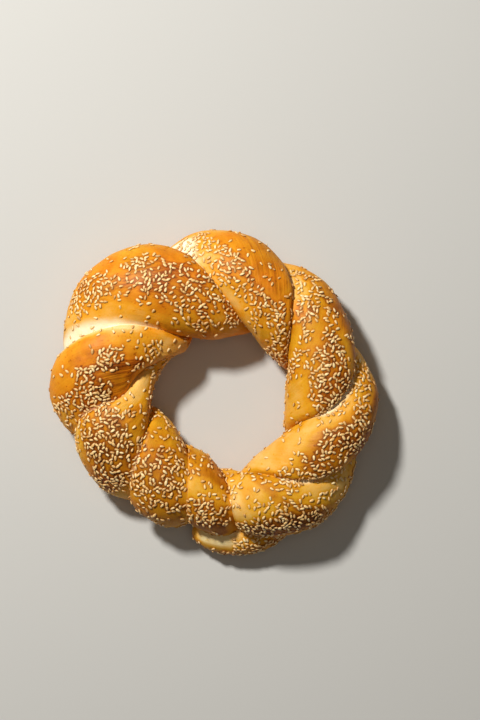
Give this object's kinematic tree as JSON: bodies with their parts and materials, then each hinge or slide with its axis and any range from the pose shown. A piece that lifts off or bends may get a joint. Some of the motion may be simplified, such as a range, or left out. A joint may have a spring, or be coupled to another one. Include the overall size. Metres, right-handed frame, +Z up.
{
  "type": "simit",
  "caption": "Ring of baked dough twisted from ropes, with rounded folds winding round it, an open hole and a tapered end tucked under the joint. It lies on its flat underside.",
  "frame": {"origin": "on the table, under the middle of the bread's box", "axes": "+Z up out of the flat underside; the tapered end shows on the -Y side, and the fattest fold lies towards -X and +Y"},
  "size_m": [0.1874, 0.187, 0.0462],
  "materials": {
    "crust": "golden baked crust, satin"
  },
  "bodies": {
    "root": {"bread": "crust"}
  },
  "joints": []
}
